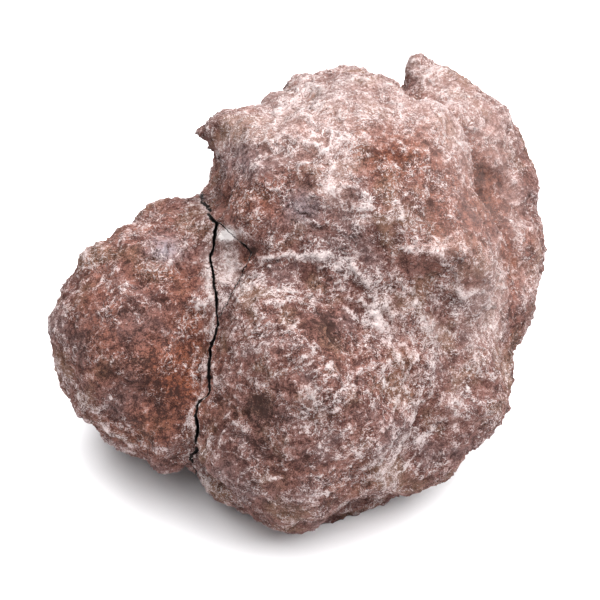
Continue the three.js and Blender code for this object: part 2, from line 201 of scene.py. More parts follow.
# The crack that parts the stone, from its upper end down: across and up as pictured, and how far toward
# the eye.
CRACK = np.array([
    (-32, 60, -20), (-25, 26, -18), (-21, 21.6, -8), (-19.6, 20.5, -3), (-18.8, 18.8, 5), (-17.7, 17.1, 13),
    (-16.2, 15.1, 17), (-17.3, 12.1, 17.5), (-17.9, 8.7, 18), (-17.6, 3, 20), (-16.8, 0, 22.5),
    (-16.5, -3.1, 23.5), (-17.8, -9.4, 23), (-18.2, -12.8, 23.5), (-18.2, -18.7, 24), (-20.3, -20.7, 23),
    (-21.2, -23.5, 22), (-20.6, -25.7, 21), (-20.1, -29.5, 16), (-21.5, -31.5, 12), (-21.2, -33, 8),
    (-24, -60, -10),
])
# It leans on its way inward. Its ripple is two waves multiplied: how long the first is toward the eye, how
# long and high its bend is, and how long the second is up the stone and toward the eye.
CRACK_LEAN = 0.13
CRACK_RIPPLE = (2.3, 3.1, 2, 2.7, 6)
CRACK_ROUGHNESS = 0.6
# The size and height of its grain, and the size and share by which its width varies.
CRACK_GRAIN = (1.6, 0.14)
CRACK_UNEVENNESS = (2.4, 0.35)
# How finely the crack is meshed, how far up and toward it reaches, and how far across its blocks do.
CRACK_STEP = 0.7
CRACK_REACH = 56.0
CRACK_BLOCK_END = 90.0
# The crack's width at heights up the stone: widest at its ends, all but closed at one spot.
CRACK_WIDTHS = (
    (-34, -30, -24, -20, -19, -18, -10, -5, -3, 0, 3, 8, 14, 17, 22),
    (0.3, 0.5, 0.7, 0.6, 0.1, 0.5, 0.75, 0.5, 0.28, 0.5, 0.4, 0.42, 0.5, 0.75, 0.95),
)

# The splinter's corners as pictured, how far toward the eye they were read, and the depth of its floor.
SPLINTER = ((-19, 16.6), (-16, 15.2), (-9.6, 9.4), (-13.2, 1.8), (-16, -3.2), (-19, -4))
SPLINTER_TOP = 22
SPLINTER_FLOOR = 15.5
# The gap round the splinter: its mean above and below the corner, and how much it varies.
SPLINTER_GAPS = (0.15, 0.05, 0.24)
GAP_LUMPS = 2.4
LEAST_GAP = 0.01
SPLINTER_CORNER = 9.4
# The prism that cuts it out: how far toward the eye it ends, and how its sides are stepped and roughened.
SPLINTER_PRISM_END = 60.0
RAGGED_STEP = 0.4
RAGGEDNESS = 0.2
RAGGED_LUMPS = 1.3

# Where the search for the skin starts, its step and its halvings, how finely the skins are meshed, and how
# the mesh that joins them is smoothed.
SEARCH_START = 72.0
SEARCH_STEP = 1.5
HALVINGS = 10
SKIN_DETAIL = 7
KNOB_DETAIL = 5
EVENING_ROUNDS = 2
VOXEL = 0.56
SMOOTHING_ROUNDS = 6
SMOOTHING = 0.6

# The visual model is trimmed to the frame's box within this many metres of the box's sides.
BOX_MARGIN = 0.004


def noise(points, size, shift=0.0):
    """Smooth noise of about -1 to 1 over lumps of one size. Each shift gives another pattern of it."""
    scaled = points / size + shift
    base = np.floor(scaled)
    part = scaled - base
    ease = part ** 3 * (part * (part * 6 - 15) + 10)
    total = np.zeros(len(points))
    for corner in range(8):
        step = np.array([corner & 1, (corner >> 1) & 1, corner >> 2])
        seed = (base + step) @ NOISE_SEEDS
        slope = np.zeros(len(points))
        for axis, offset in enumerate(SLOPE_SEEDS):
            value = np.sin(seed + offset) * SCATTER
            slope += (2 * (value - np.floor(value)) - 1) * (part[:, axis] - step[axis])
        total += np.prod(np.where(step == 1, ease, 1 - ease), axis=1) * slope
    return NOISE_GAIN * total


def smoothstep(value, low, high):
    """A smooth rise from 0 at low to 1 at high."""
    share = np.clip((value - low) / (high - low), 0, 1)
    return share * share * (3 - 2 * share)


def pictured(points):
    """Where points show in the picture, [across, up]."""
    return points[:, :2] * (EYE_DISTANCE / (EYE_DISTANCE - points[:, 2:]))


def turned(turn, lean=0):
    """The matrix of a lean about across and then a turn about the line of sight, both in degrees."""
    about_sight = Matrix.Rotation(math.radians(turn), 3, "Z")
    about_across = Matrix.Rotation(math.radians(lean), 3, "X")
    return np.array(about_sight @ about_across)


def skin_distance(points):
    """Roughly how far points are outside the skin that runs over the lobes."""
    nearness = np.zeros(len(points))
    for centre, size, turn, lean in LOBES.values():
        local = (points - np.array(centre)) @ turned(turn, lean) / np.array(size)
        reach = np.linalg.norm(local, axis=1)
        slope = np.linalg.norm(local / np.array(size), axis=1)
        nearness += np.exp(-reach * (reach - 1) / np.maximum(slope, 1e-6) / LOBE_BLEND)
    return -LOBE_BLEND * np.log(np.maximum(nearness, 1e-300))


def skin_slope(points):
    """How the distance to the skin grows along each axis."""
    step = 0.05
    columns = []
    for axis in range(3):
        offset = np.eye(3)[axis] * step
        columns.append((skin_distance(points + offset) - skin_distance(points - offset)) / (2 * step))
    return np.stack(columns, axis=1)


def skin_reach(directions):
    """How far the skin is from the stone's middle in each direction."""
    outside = np.full(len(directions), SEARCH_START)
    moving = np.ones(len(directions), bool)
    while moving.any():
        ahead = directions[moving] * (outside[moving] - SEARCH_STEP)[:, None]
        free = skin_distance(ahead) > 0
        index = np.flatnonzero(moving)
        outside[index[free]] -= SEARCH_STEP
        moving[index[~free]] = False
    inside = outside - SEARCH_STEP
    for _ in range(HALVINGS):
        middle = (inside + outside) / 2
        free = skin_distance(directions * middle[:, None]) > 0
        outside = np.where(free, middle, outside)
        inside = np.where(free, inside, middle)
    return (inside + outside) / 2


def neighbour_mean(points, edges):
    """The mean of each point's neighbours."""
    count = np.bincount(edges.ravel(), minlength=len(points))
    columns = []
    for axis in range(3):
        one_way = np.bincount(edges[:, 0], points[edges[:, 1], axis], len(points))
        other_way = np.bincount(edges[:, 1], points[edges[:, 0], axis], len(points))
        columns.append((one_way + other_way) / count)
    return np.stack(columns, axis=1)


def outline_reach(angles):
    """The outline's distance from the middle of the picture at each angle."""
    start = OUTLINE
    edge = np.roll(OUTLINE, -1, axis=0) - OUTLINE
    reach = np.zeros(len(angles))
    for i, angle in enumerate(angles):
        ray = np.array([math.cos(angle), math.sin(angle)])
        across = ray[0] * edge[:, 1] - ray[1] * edge[:, 0]
        along = (start[:, 0] * edge[:, 1] - start[:, 1] * edge[:, 0]) / across
        share = (start[:, 0] * ray[1] - start[:, 1] * ray[0]) / across
        reach[i] = along[(share >= 0) & (share <= 1)].max()
    return reach


def fit_outline(points):
    """Stretches the stone sideways, most at its rim, until its picture fills the outline."""
    bins = OUTLINE_DIRECTIONS
    spot = pictured(points)
    reach = np.linalg.norm(spot, axis=1)
    turn = np.mod(np.arctan2(spot[:, 1], spot[:, 0]) / (2 * math.pi), 1) * bins
    seen = np.zeros(bins)
    np.maximum.at(seen, turn.astype(int) % bins, reach)
    wanted = outline_reach((np.arange(bins) + 0.5) / bins * 2 * math.pi) / seen
    half = len(OUTLINE_SOFTENING) // 2
    even = sum(share * np.roll(wanted, half - k) for k, share in enumerate(OUTLINE_SOFTENING))
    low = np.floor(turn - 0.5).astype(int)
    between = turn - 0.5 - low

    def blend(values):
        return values[low % bins] * (1 - between) + values[(low + 1) % bins] * between

    weight = smoothstep(reach / blend(seen), *OUTLINE_RIM) * smoothstep(points[:, 2], *OUTLINE_FADE)
    points[:, :2] *= (1 + (blend(even) - 1) * weight)[:, None]


def lumps(points):
    """The height of the large lumps at each point."""
    return sum(height * (noise(points, size) + LUMP_SWELL) for size, height in LUMPS)


def mark_height(points):
    """The height of the placed hollows and rises at each point of the side that was seen."""
    spot = pictured(points)
    height = np.zeros(len(points))
    for centre, size, rise, turn in MARKS:
        local = (spot - np.array(centre)) @ turned(turn)[:2, :2] / np.array(size)
        height += rise * np.exp(-(local ** 2).sum(axis=1))
    return np.where(points[:, 2] >= 0, height, 0)


def ball(detail):
    """The vertices and faces of an icosahedron split evenly into a ball of radius 1."""
    mesh = bmesh.new()
    bmesh.ops.create_icosphere(mesh, subdivisions=detail, radius=1)
    points = np.array([vertex.co[:] for vertex in mesh.verts])
    faces = np.array([[vertex.index for vertex in face.verts] for face in mesh.faces])
    mesh.free()
    return points / np.linalg.norm(points, axis=1)[:, None], faces


def edges_of(faces):
    """The edges of triangles, each once."""
    pairs = np.concatenate([faces[:, [0, 1]], faces[:, [1, 2]], faces[:, [2, 0]]])
    return np.unique(np.sort(pairs, axis=1), axis=0)


def lobed_skin():
    """The skin over the lobes, with the rind's large lumps and marks."""
    directions, faces = ball(SKIN_DETAIL)
    edges = edges_of(faces)
    points = directions * skin_reach(directions)[:, None]
    for _ in range(EVENING_ROUNDS):
        points = neighbour_mean(points, edges)
        slope = skin_slope(points)
        points -= slope * (skin_distance(points) / (slope ** 2).sum(axis=1))[:, None]
    slope = skin_slope(points)
    out = slope / np.linalg.norm(slope, axis=1)[:, None]
    points += out * (lumps(points) + mark_height(points))[:, None]
    for _ in range(OUTLINE_ROUNDS):
        fit_outline(points)
    return points, faces


def knob_skin(centre, size, turn):
    """A lumpy knob's own closed skin."""
    directions, faces = ball(KNOB_DETAIL)
    out = directions * np.array(size) @ turned(turn).T
    points = out + np.array(centre)
    return points + out * (KNOB_LUMPS * lumps(points))[:, None], faces


def mesh_object(name, points, faces):
    """A new object in the scene, from an array of points and a list of faces."""
    mesh = bpy.data.meshes.new(name)
    mesh.from_pydata(points.tolist(), [], faces)
    mesh.update()
    thing = bpy.data.objects.new(name, mesh)
    bpy.context.scene.collection.objects.link(thing)
    return thing


def apply_modifiers(thing):
    """Replaces an object's mesh by what its modifiers make of it."""
    graph = bpy.context.evaluated_depsgraph_get()
    made = bpy.data.meshes.new_from_object(thing.evaluated_get(graph), depsgraph=graph)
    old = thing.data
    thing.modifiers.clear()
    thing.data = made
    bpy.data.meshes.remove(old)


def vertex_array(mesh, what="co"):
    """The positions or normals of a mesh's vertices."""
    values = np.empty(len(mesh.vertices) * 3)
    mesh.vertices.foreach_get(what, values)
    return values.reshape(-1, 3)


def edge_array(mesh):
    """The pairs of vertices that a mesh's edges join."""
    values = np.empty(len(mesh.edges) * 2, int)
    mesh.edges.foreach_get("vertices", values)
    return values.reshape(-1, 2)


def line_distance(spot, line):
    """The distance from points of the picture to a line through several others."""
    distance = np.full(len(spot), 1e9)
    for start, end in zip(line, line[1:]):
        start, end = np.array(start), np.array(end)
        share = np.clip((spot - start) @ (end - start) / ((end - start) ** 2).sum(), 0, 1)
        foot = start + share[:, None] * (end - start)
        distance = np.minimum(distance, np.linalg.norm(spot - foot, axis=1))
    return distance


def ridge_height(spot):
    """The height of the placed ridges at points of the picture."""
    height = np.zeros(len(spot))
    size, reach = RIDGE_WOBBLE
    flat = np.column_stack([spot, np.zeros(len(spot))])
    spot = spot + reach * np.column_stack([noise(flat, size, shift) for shift in (3.3, 8.8)])
    for line, width, rise in RIDGES:
        height += rise * np.exp(-(line_distance(spot, line) / width) ** 2)
    return height


def rind_relief(points):
    """The rind's fine relief in millimetres, and what of it stands out so that dust settles on it."""
    size, reach = RELIEF_BEND
    bent = points + reach * np.column_stack([noise(points, size, shift) for shift in (2.2, 5.5, 9.1)])
    knots = sum(height * noise(bent, size, shift) for size, height, shift in KNOTS)
    size, height, shift = FINE_KNOTS
    knots = knots + height * noise(points, size, shift)
    net = np.zeros(len(points))
    for size, height, shift in NET:
        net += height * smoothstep(-np.abs(noise(bent, size, shift)), -NET_WIDTH, 0)
    level = FLAKE_LEVELS * noise(bent * FLAKE_STRETCH, FLAKE_SIZE, 11.4)
    rise = level - np.floor(level)
    flakes = FLAKE_HEIGHT * (smoothstep(rise, 0.0, FLAKE_EDGE) - rise)
    pits = -PIT_DEPTH * smoothstep(noise(bent, PIT_SIZE, 13.7), *PIT_LEVELS)
    streaks = streak_height(bent)
    seen = np.where(points[:, 2] > 0, ridge_height(pictured(points)), 0)
    relief = knots + net + flakes + pits + streaks + seen
    return relief, net + DUSTY_STREAKS * streaks + DUSTY_RIDGES * seen + DUSTY_FLAKES * flakes


def streak_height(points):
    """Flaky streaks of the side that was seen, long round their centres and short away from them."""
    height = np.zeros(len(points))
    seen = smoothstep(points[:, 2], *STREAK_FADE)
    for centre, fade, rise, outer_only in STREAKS:
        spot = pictured(points) - np.array(centre)
        radius = np.linalg.norm(spot, axis=1)
        round_it = spot / np.maximum(radius, 1e-6)[:, None] * STREAK_TURN
        grid = np.column_stack([radius, round_it])
        sharp = smoothstep(-np.abs(noise(grid, SHARP_SIZE, 17.9)), -SHARP_WIDTH, 0)
        blunt = smoothstep(noise(grid, BLUNT_SIZE, 23.4), *BLUNT_LEVELS)
        side = smoothstep(spot @ np.array(centre), *STREAK_OUTER_SIDE) if outer_only else 1
        height += rise * (sharp + BLUNT_SHARE * blunt) * smoothstep(radius, *fade) * seen * side
    return height


def store(mesh, name, values):
    """Stores one number per vertex under a name that the material reads."""
    layer = mesh.attributes.new(name, "FLOAT", "POINT")
    layer.data.foreach_set("value", np.asarray(values, np.float32))


def whole_stone():
    """The whole stone before it cracked, evenly meshed, with its fine relief."""
    points, faces = lobed_skin()
    for knob in KNOBS.values():
        knob_points, knob_faces = knob_skin(*knob)
        faces = np.concatenate([faces, knob_faces + len(points)])
        points = np.concatenate([points, knob_points])
    stone = mesh_object("stone", points, faces.tolist())
    remesh = stone.modifiers.new("even out", "REMESH")
    remesh.mode = "VOXEL"
    remesh.voxel_size = VOXEL
    apply_modifiers(stone)
    points = vertex_array(stone.data)
    edges = edge_array(stone.data)
    for _ in range(SMOOTHING_ROUNDS):
        points += SMOOTHING * (neighbour_mean(points, edges) - points)
    stone.data.vertices.foreach_set("co", points.ravel())
    stone.data.update()
    normals = vertex_array(stone.data, "normal")
    relief, ridge = rind_relief(points)
    points += normals * (relief - RELIEF_MEAN)[:, None]
    stone.data.vertices.foreach_set("co", points.ravel())
    store(stone.data, "relief", relief)
    store(stone.data, "ridge", ridge)
    store(stone.data, "skin", np.ones(len(points)))
    stone.data.update()
    return stone


def crack_across(up, toward):
    """How far across the crack is at each height and depth."""
    scale = EYE_DISTANCE / (EYE_DISTANCE - toward)
    falling = CRACK[::-1]
    line = np.interp(up * scale, falling[:, 1], falling[:, 0])
    inward = np.interp(up * scale, falling[:, 1], falling[:, 2]) - toward
    inner, bend, bend_height, outer, slant = CRACK_RIPPLE
    ripple = np.sin(toward / inner + np.sin(up / bend) * bend_height) * np.sin(up / outer + toward / slant)
    size, height = CRACK_GRAIN
    grain = height * noise(np.column_stack([up, toward, 0 * up]), size, 2.2)
    return line / scale + CRACK_LEAN * inward + CRACK_ROUGHNESS * ripple + grain


def half_gap(up, toward):
    """Half the crack's width at each height and depth."""
    size, share = CRACK_UNEVENNESS
    uneven = share * noise(np.column_stack([up, toward, 0 * up]), size, 5.1)
    return np.interp(up, *CRACK_WIDTHS) / 2 * (1 + uneven)


def crack_block(side):
    """Everything on one side of the crack: side -1 is the left, +1 the right."""
    count = int(2 * CRACK_REACH / CRACK_STEP) + 1
    line = np.linspace(-CRACK_REACH, CRACK_REACH, count)
    up, toward = (grid.ravel() for grid in np.meshgrid(line, line, indexing="ij"))
    edge = crack_across(up, toward) + side * half_gap(up, toward)
    near = np.column_stack([edge, up, toward])
    far = np.column_stack([np.full(len(up), side * CRACK_BLOCK_END), up, toward])
    index = np.arange(count * count).reshape(count, count)
    corners = (index[:-1, :-1], index[1:, :-1], index[1:, 1:], index[:-1, 1:])
    quads = np.column_stack([corner.ravel() for corner in corners])
    size = count * count
    rim = np.concatenate([index[0, :], index[1:, -1], index[-1, -2::-1], index[-2:0:-1, 0]])
    after = np.roll(rim, -1)
    wall = np.column_stack([rim, after, after + size, rim + size])
    faces = quads.tolist() + (quads[:, ::-1] + size).tolist() + wall.tolist()
    block = mesh_object("block", np.concatenate([near, far]), faces)
    outward(block)
    return block


def outward(thing):
    """Turns every face of a closed mesh outward."""
    mesh = bmesh.new()
    mesh.from_mesh(thing.data)
    bmesh.ops.recalc_face_normals(mesh, faces=mesh.faces)
    mesh.to_mesh(thing.data)
    mesh.free()


def ragged(corners, step, amount):
    """A closed outline with its sides cut into short steps and roughened."""
    points = []
    for start, end in zip(corners, corners[1:] + corners[:1]):
        start, end = np.array(start), np.array(end)
        count = max(int(np.linalg.norm(end - start) / step), 1)
        points += [start + (end - start) * k / count for k in range(count)]
    points = np.array(points)
    flat = np.column_stack([points, np.zeros(len(points))])
    return points + amount * np.column_stack([noise(flat, RAGGED_LUMPS, shift) for shift in (1.9, 6.3)])


def splinter_prism(gaps=None):
    """The prism of rind that the splinter came out of, grown sideways by a ragged gap."""
    corners = np.array(SPLINTER) * (EYE_DISTANCE - SPLINTER_TOP) / EYE_DISTANCE
    outline = ragged([tuple(corner) for corner in corners], RAGGED_STEP, RAGGEDNESS)
    floor_height = SPLINTER_FLOOR
    if gaps:
        above, below, change = gaps
        away = outline - corners.mean(axis=0)
        away /= np.linalg.norm(away, axis=1)[:, None]
        spots = np.column_stack([outline, np.zeros(len(outline))])
        mean = np.where(outline[:, 1] > SPLINTER_CORNER, above, below)
        gap = np.maximum(mean + change * noise(spots, GAP_LUMPS, 4.4), LEAST_GAP)
        outline = outline + away * gap[:, None]
        floor_height -= below
    count = len(outline)
    low = np.column_stack([outline, np.full(count, floor_height)])
    high = np.column_stack([outline, np.full(count, SPLINTER_PRISM_END)])
    ring = [[k, (k + 1) % count, count + (k + 1) % count, count + k] for k in range(count)]
    faces = ring + [list(range(count))[::-1], list(range(count, 2 * count))]
    prism = mesh_object("prism", np.concatenate([low, high]), faces)
    outward(prism)
    return prism


def rest_block():
    """Everything above the level that the stone rests on."""
    half = 100.0
    points = np.array([(x, y, z) for x in (-half, half) for y in (-half, half) for z in (0, 2 * half)])
    faces = [[0, 1, 3, 2], [4, 6, 7, 5], [0, 4, 5, 1], [2, 3, 7, 6], [0, 2, 6, 4], [1, 5, 7, 3]]
    block = mesh_object("rest block", points, faces)
    block.data.transform(Matrix.Translation((0, 0, REST_CUT)))
    block.data.transform(Matrix.Rotation(-EYE_ELEVATION, 4, "X"))
    return block


def combine(thing, other, how, name=None):
    """Cuts an object, or a named copy of it, by another: INTERSECT or DIFFERENCE."""
    made = thing
    if name:
        made = bpy.data.objects.new(name, thing.data.copy())
        bpy.context.scene.collection.objects.link(made)
    cut = made.modifiers.new("cut", "BOOLEAN")
    cut.solver = "MANIFOLD"
    cut.operation = how
    cut.object = other
    apply_modifiers(made)
    return made


def discard(*things):
    """Removes helper objects and their meshes."""
    for thing in things:
        mesh = thing.data
        bpy.data.objects.remove(thing)
        bpy.data.meshes.remove(mesh)


def srgb(red, green, blue):
    """A colour given as 0 to 255, as the shader wants it."""
    return tuple(((part / 255 + 0.055) / 1.055) ** 2.4 for part in (red, green, blue)) + (1.0,)


class Shader:
    """Short calls for building a material's nodes."""

    def __init__(self, name):
        self.material = bpy.data.materials.new(name)
        self.material.use_nodes = True
        self.tree = self.material.node_tree
        self.tree.nodes.clear()
        self.place = self.add("ShaderNodeTexCoord").outputs["Object"]
        self.bsdf = self.add("ShaderNodeBsdfPrincipled")
        output = self.add("ShaderNodeOutputMaterial")
        self.link(self.bsdf.outputs[0], output.inputs[0])

    def add(self, kind, **settings):
        node = self.tree.nodes.new(kind)
        for key, value in settings.items():
            setattr(node, key, value)
        return node

    def link(self, source, target):
        self.tree.links.new(source, target)

    def put(self, socket, value):
        """Gives a socket a value, or a link where the value comes from another node."""
        if isinstance(value, bpy.types.NodeSocket):
            self.link(value, socket)
        else:
            socket.default_value = value

    def stored(self, name):
        """A number stored on the mesh's vertices."""
        return self.add("ShaderNodeAttribute", attribute_name=name).outputs["Fac"]

    def grain(self, size, detail=2.0, rough=0.55, warp=0.0):
        """Noise from 0 to 1 with lumps of about one size in millimetres."""
        node = self.add("ShaderNodeTexNoise", noise_dimensions="3D")
        self.put(node.inputs["Vector"], self.place)
        node.inputs["Scale"].default_value = 1 / (size * MM)
        node.inputs["Detail"].default_value = detail
        node.inputs["Roughness"].default_value = rough
        node.inputs["Distortion"].default_value = warp
        return node.outputs["Fac"]

    def veins(self, size, width, warp):
        """Thin winding lines, from 0 beside them to 1 on them."""
        middle = self.math("SUBTRACT", self.grain(size, 2, 0.5, warp), 0.5)
        return self.ramp(self.math("ABSOLUTE", middle), width, 0.0)

    def total(self, *parts):
        """The sum of values, each with its share."""
        total = 0.0
        for value, share in parts:
            total = self.math("MULTIPLY_ADD", value, share, total)
        return total

    def ramp(self, value, low, high, to_low=0.0, to_high=1.0):
        """A smooth rise from to_low at low to to_high at high."""
        node = self.add("ShaderNodeMapRange", interpolation_type="SMOOTHSTEP")
        self.put(node.inputs["Value"], value)
        for key, number in (("From Min", low), ("From Max", high), ("To Min", to_low), ("To Max", to_high)):
            node.inputs[key].default_value = number
        return node.outputs[0]

    def math(self, how, *values):
        node = self.add("ShaderNodeMath", operation=how)
        for socket, value in zip(node.inputs, values):
            self.put(socket, value)
        return node.outputs[0]

    def mix(self, share, first, second):
        """The first colour at share 0, the second at share 1."""
        node = self.add("ShaderNodeMix", data_type="RGBA")
        self.put(node.inputs[0], share)
        self.put(node.inputs[6], first)
        self.put(node.inputs[7], second)
        return node.outputs[2]

    def bump(self, height, distance, before=None):
        """Roughens the surface by a height from 0 to 1 over a distance in millimetres."""
        node = self.add("ShaderNodeBump")
        node.inputs["Strength"].default_value = 1.0
        node.inputs["Distance"].default_value = distance * MM
        self.put(node.inputs["Height"], height)
        if before:
            self.link(before, node.inputs["Normal"])
        return node.outputs[0]


def rind_material():
    """Brown-mauve rind with rust in its hollows, pale dust and flakes on all that stands out, and painted
    shade in what is sunk and deep in the crack.
    """
    s = Shader("geode_rind")
    broad = s.grain(9, 3)
    medium = s.grain(2.6, 3, 0.6, 0.4)
    fine = s.grain(0.8, 4, 0.7, 0.5)
    speck = s.grain(0.26, 2, 0.6)
    streaky = s.ramp(s.grain(5, 2), 0.4, 0.6, 0.25, 1.0)
    veins = s.math("MULTIPLY", s.veins(3.4, 0.03, 1.6), streaky)
    thin_veins = s.math("MULTIPLY", s.veins(1.3, 0.045, 1.4), streaky)
    ridge, relief = s.stored("ridge"), s.stored("relief")

    # The bare rind: greyer or browner over broad areas, rusty and quartz grey in patches.
    tone = s.total((medium, 0.4), (fine, 0.35), (speck, 0.25))
    colour = s.mix(s.ramp(tone, 0.41, 0.59), srgb(74, 43, 38), srgb(118, 84, 78))
    colour = s.mix(s.ramp(broad, 0.5, 0.66, 0, 0.6), colour, srgb(98, 79, 79))
    colour = s.mix(s.ramp(broad, 0.5, 0.34, 0, 0.6), colour, srgb(112, 86, 68))
    rusty = s.mix(s.ramp(tone, 0.42, 0.58), srgb(76, 38, 28), srgb(129, 73, 51))
    colour = s.mix(s.math("MULTIPLY", s.stored("rust"), s.ramp(fine, 0.25, 0.6, 0.4, 1.0)), colour, rusty)
    grey = s.math("MULTIPLY", s.stored("grey"), s.ramp(fine, 0.3, 0.55))
    colour = s.mix(grey, colour, srgb(146, 135, 141))

    # Pale dust on what stands out, darker in what is sunk (partly the rind's dark grain, partly painted
    # shade in the hollows and the far grooves), and nearly white where the dust is thickest. The stored
    # pale share also carries painted light on what faces up.
    pale = s.stored("pale")
    colour = s.mix(s.ramp(pale, 0.05, 0.6, 0, 0.6), colour, srgb(146, 118, 111))
    raised = s.total((ridge, 0.7), (relief, 0.36), (medium, 1.2), (fine, 1.5), (speck, 1.7), (veins, 0.75),
                     (thin_veins, 0.85), (pale, 0.95), (1.0, -2.7))
    colour = s.mix(s.ramp(raised, -0.1, 0.95, 0, 0.9), colour, srgb(198, 184, 182))
    colour = s.mix(s.ramp(raised, -0.2, -0.84, 0, 0.9), colour, srgb(46, 26, 21))
    colour = s.mix(s.ramp(s.grain(0.5, 2, 0.6), 0.38, 0.3, 0, 0.7), colour, srgb(44, 27, 22))
    white = s.total((pale, 1.0), (fine, 1.6), (speck, 0.8), (1.0, -1.2))
    colour = s.mix(s.ramp(white, 0.75, 1.15, 0, 0.9), colour, srgb(244, 238, 236))

    colour = s.mix(s.stored("film"), colour, srgb(147, 120, 114))

    # Broken faces are pale at the rind; deeper in the crack they are dark, which is painted shade.
    fresh = s.mix(s.ramp(fine, 0.35, 0.6), srgb(184, 162, 156), srgb(216, 206, 203))
    broken = s.mix(s.ramp(s.stored("depth"), 0.02, 0.25), fresh, srgb(24, 15, 13))
    colour = s.mix(s.ramp(s.stored("skin"), 0.2, 0.6), broken, colour)
    s.link(colour, s.bsdf.inputs["Base Color"])
    s.put(s.bsdf.inputs["Roughness"], s.ramp(fine, 0.3, 0.7, 0.96, 0.78))
    s.bsdf.inputs["Specular IOR Level"].default_value = 0.22
    lines = s.total((veins, 0.25), (thin_veins, 0.2), (fine, 1.0))
    s.link(s.bump(speck, 0.26, before=s.bump(lines, 0.5)), s.bsdf.inputs["Normal"])
    return s.material


# Where the rind is rusty, quartz grey, under a thin film, or paler or darker than the rest, as patches of
# the picture: centre, half-widths and strength.
RUST_PATCHES = (
    ((-24, -15), (8, 9), 1.0), ((-40, -4), (6, 12), 0.5), ((-32, -28), (9, 5), 0.5),
    ((-26, 5), (7, 4), 0.45), ((20, 30), (8, 6), 0.9), ((-6, 20), (10, 6), 0.45),
    ((5, -12), (12, 5), 0.15), ((28, 12), (6, 10), 0.4), ((37, 22), (6, 9), 0.6), ((42, 8), (5, 9), 0.55),
    ((28, 23), (4, 5), 0.4), ((-22, -3), (4, 6), 0.4), ((0, 33), (8, 4), 0.3), ((22, -14), (5, 8), 0.35),
    ((-30, 14), (8, 5), 0.4), ((8, -36), (9, 5), 0.35), ((-14, 24), (4, 6), 0.4),
    ((-10.6, 7.8), (1.1, 1.4), 0.5), ((-14, 6), (3, 6), 0.25),
)
GREY_PATCHES = (((-27, 10), (3.2, 2.4), 0.9), ((-12, 28), (4, 3.4), 0.3), ((0.5, 18.6), (3.4, 3.4), 0.6))
FILM_PATCHES = (((37, 24), (11, 20), 0.3),)
# Painted shade, with some rust, in the grooves between the near dome and the lobes behind it: line,
# half-width and strength.
DOME_EDGE = (
    (16, 42.8), (21.8, 42), (26.2, 38.8), (30.8, 34.4), (34.8, 28.6), (35.2, 25.4), (37.4, 20),
    (39.2, 14.8), (41.4, 9.4), (42.4, 6), (42.8, -10),
)
SHADED_GROOVES = (
    (DOME_EDGE, 2.0, 0.7),
    (((44, 28), (46, 18), (46, 8)), 1.5, 0.4),
    (((36, 25.5), (39, 24)), 2.0, 0.8),
)
# The pale patches are partly dust and the rind's own tone, and partly painted light and shade: some
# brighten flanks that face away from the lamps.
PALE_AND_LIGHT_PATCHES = (
    ((8, 23), (3.6, 7), 0.34), ((37, -1), (5, 8), 0.4), ((28, 22), (3.5, 4), -0.35),
    ((36, 17), (6, 4.5), -0.4), ((3, -7), (11, 4.5), -0.4), ((-8, -28), (5, 6), -0.35),
    ((5, -26), (3.5, 3.5), 0.4), ((16, -34), (4, 5), 0.4), ((-34, 9), (7, 4), -0.38),
    ((-44, -8), (3, 4), -0.35), ((28, 10), (3, 2.6), 0.4), ((22, 47), (4, 3), 0.35),
    ((5, 38), (24, 9), 0.34), ((34, 33), (14, 14), 0.24), ((44, 10), (6, 20), 0.12),
    ((22, 20), (12, 12), 0.05), ((-2, 30), (13, 7), 0.12), ((20, 30), (8, 6), -0.17),
    ((-24, -15), (8, 9), -0.2), ((2, -13), (13, 9), -0.1), ((44, 3), (5, 9), 0.1),
    ((-14, 6), (5, 6), 0.16), ((28, 4), (8, 6), -0.06), ((-28, -12), (14, 16), -0.2),
    ((0, -30), (18, 12), -0.1), ((-14, 18), (7, 8), -0.14), ((18, -2), (6, 8), 0.2),
    ((-36, 10), (9, 6), 0.08), ((-14.6, 13.1), (2.4, 1.5), 1.6), ((-14.4, 6), (2, 5), 0.5),
    ((-9, 9.6), (1.1, 0.9), -1.2), ((-13.9, 2.2), (1.1, 0.9), -0.6), ((-10.6, 7.8), (0.9, 1.1), -0.6),
    ((-34, -18), (10, 12), -0.1), ((30, -14), (9, 9), 0.12), ((43, 12), (5, 14), 0.2),
    ((26, 45), (8, 5), 0.25), ((-7.6, -21), (3.6, 3.2), -0.8), ((4.7, -4.4), (2.5, 2.8), -0.7),
    ((-6.5, -2.3), (1.6, 1.2), -0.6), ((6.3, -24.5), (1.5, 1.9), -0.5), ((3.7, 3.6), (2.1, 1.5), -0.7),
    ((2.4, -29), (1.4, 2.2), -0.5), ((14.3, -35.5), (2, 2), -0.5), ((22.5, 7), (3.2, 1.3), -0.5),
    ((2.2, -19), (1.8, 2.8), 0.6), ((5.6, 21.6), (1.2, 2.4), 0.4), ((12.4, 16), (2, 1.6), 0.45),
    ((0, -12), (2.4, 2), 0.4), ((4.9, -22.5), (1.6, 1.6), 0.35), ((27, -6), (2.4, 3), 0.3),
    ((31, -22), (1.5, 5), 0.3),
)

# Between these depths the side that was seen gives way to the rest of the stone.
SEEN_FADE = (-25, -5)
# Between these depths the painted shade in the grooves fades out toward the eye.
GROOVE_SHADE_FADE = (12, 4)
# Rust and pale dust where nothing was seen: size and strength of their patches.
WILD_RUST = (15, 0.8)
WILD_PALE = (18, 0.25)
RUST_EVERYWHERE = 0.12
# How much rust the painted shade in the grooves adds, and how much it darkens the pale dust.
GROOVE_SHADE_RUST = 0.3
GROOVE_PAINTED_SHADE = 0.5
# Painted light: the rind is paler on what faces up the picture and a little toward the eye.
PAINTED_LIGHT_FACING = np.array([0, 1, 0.4])
PAINTED_LIGHT_SHARE = 0.1
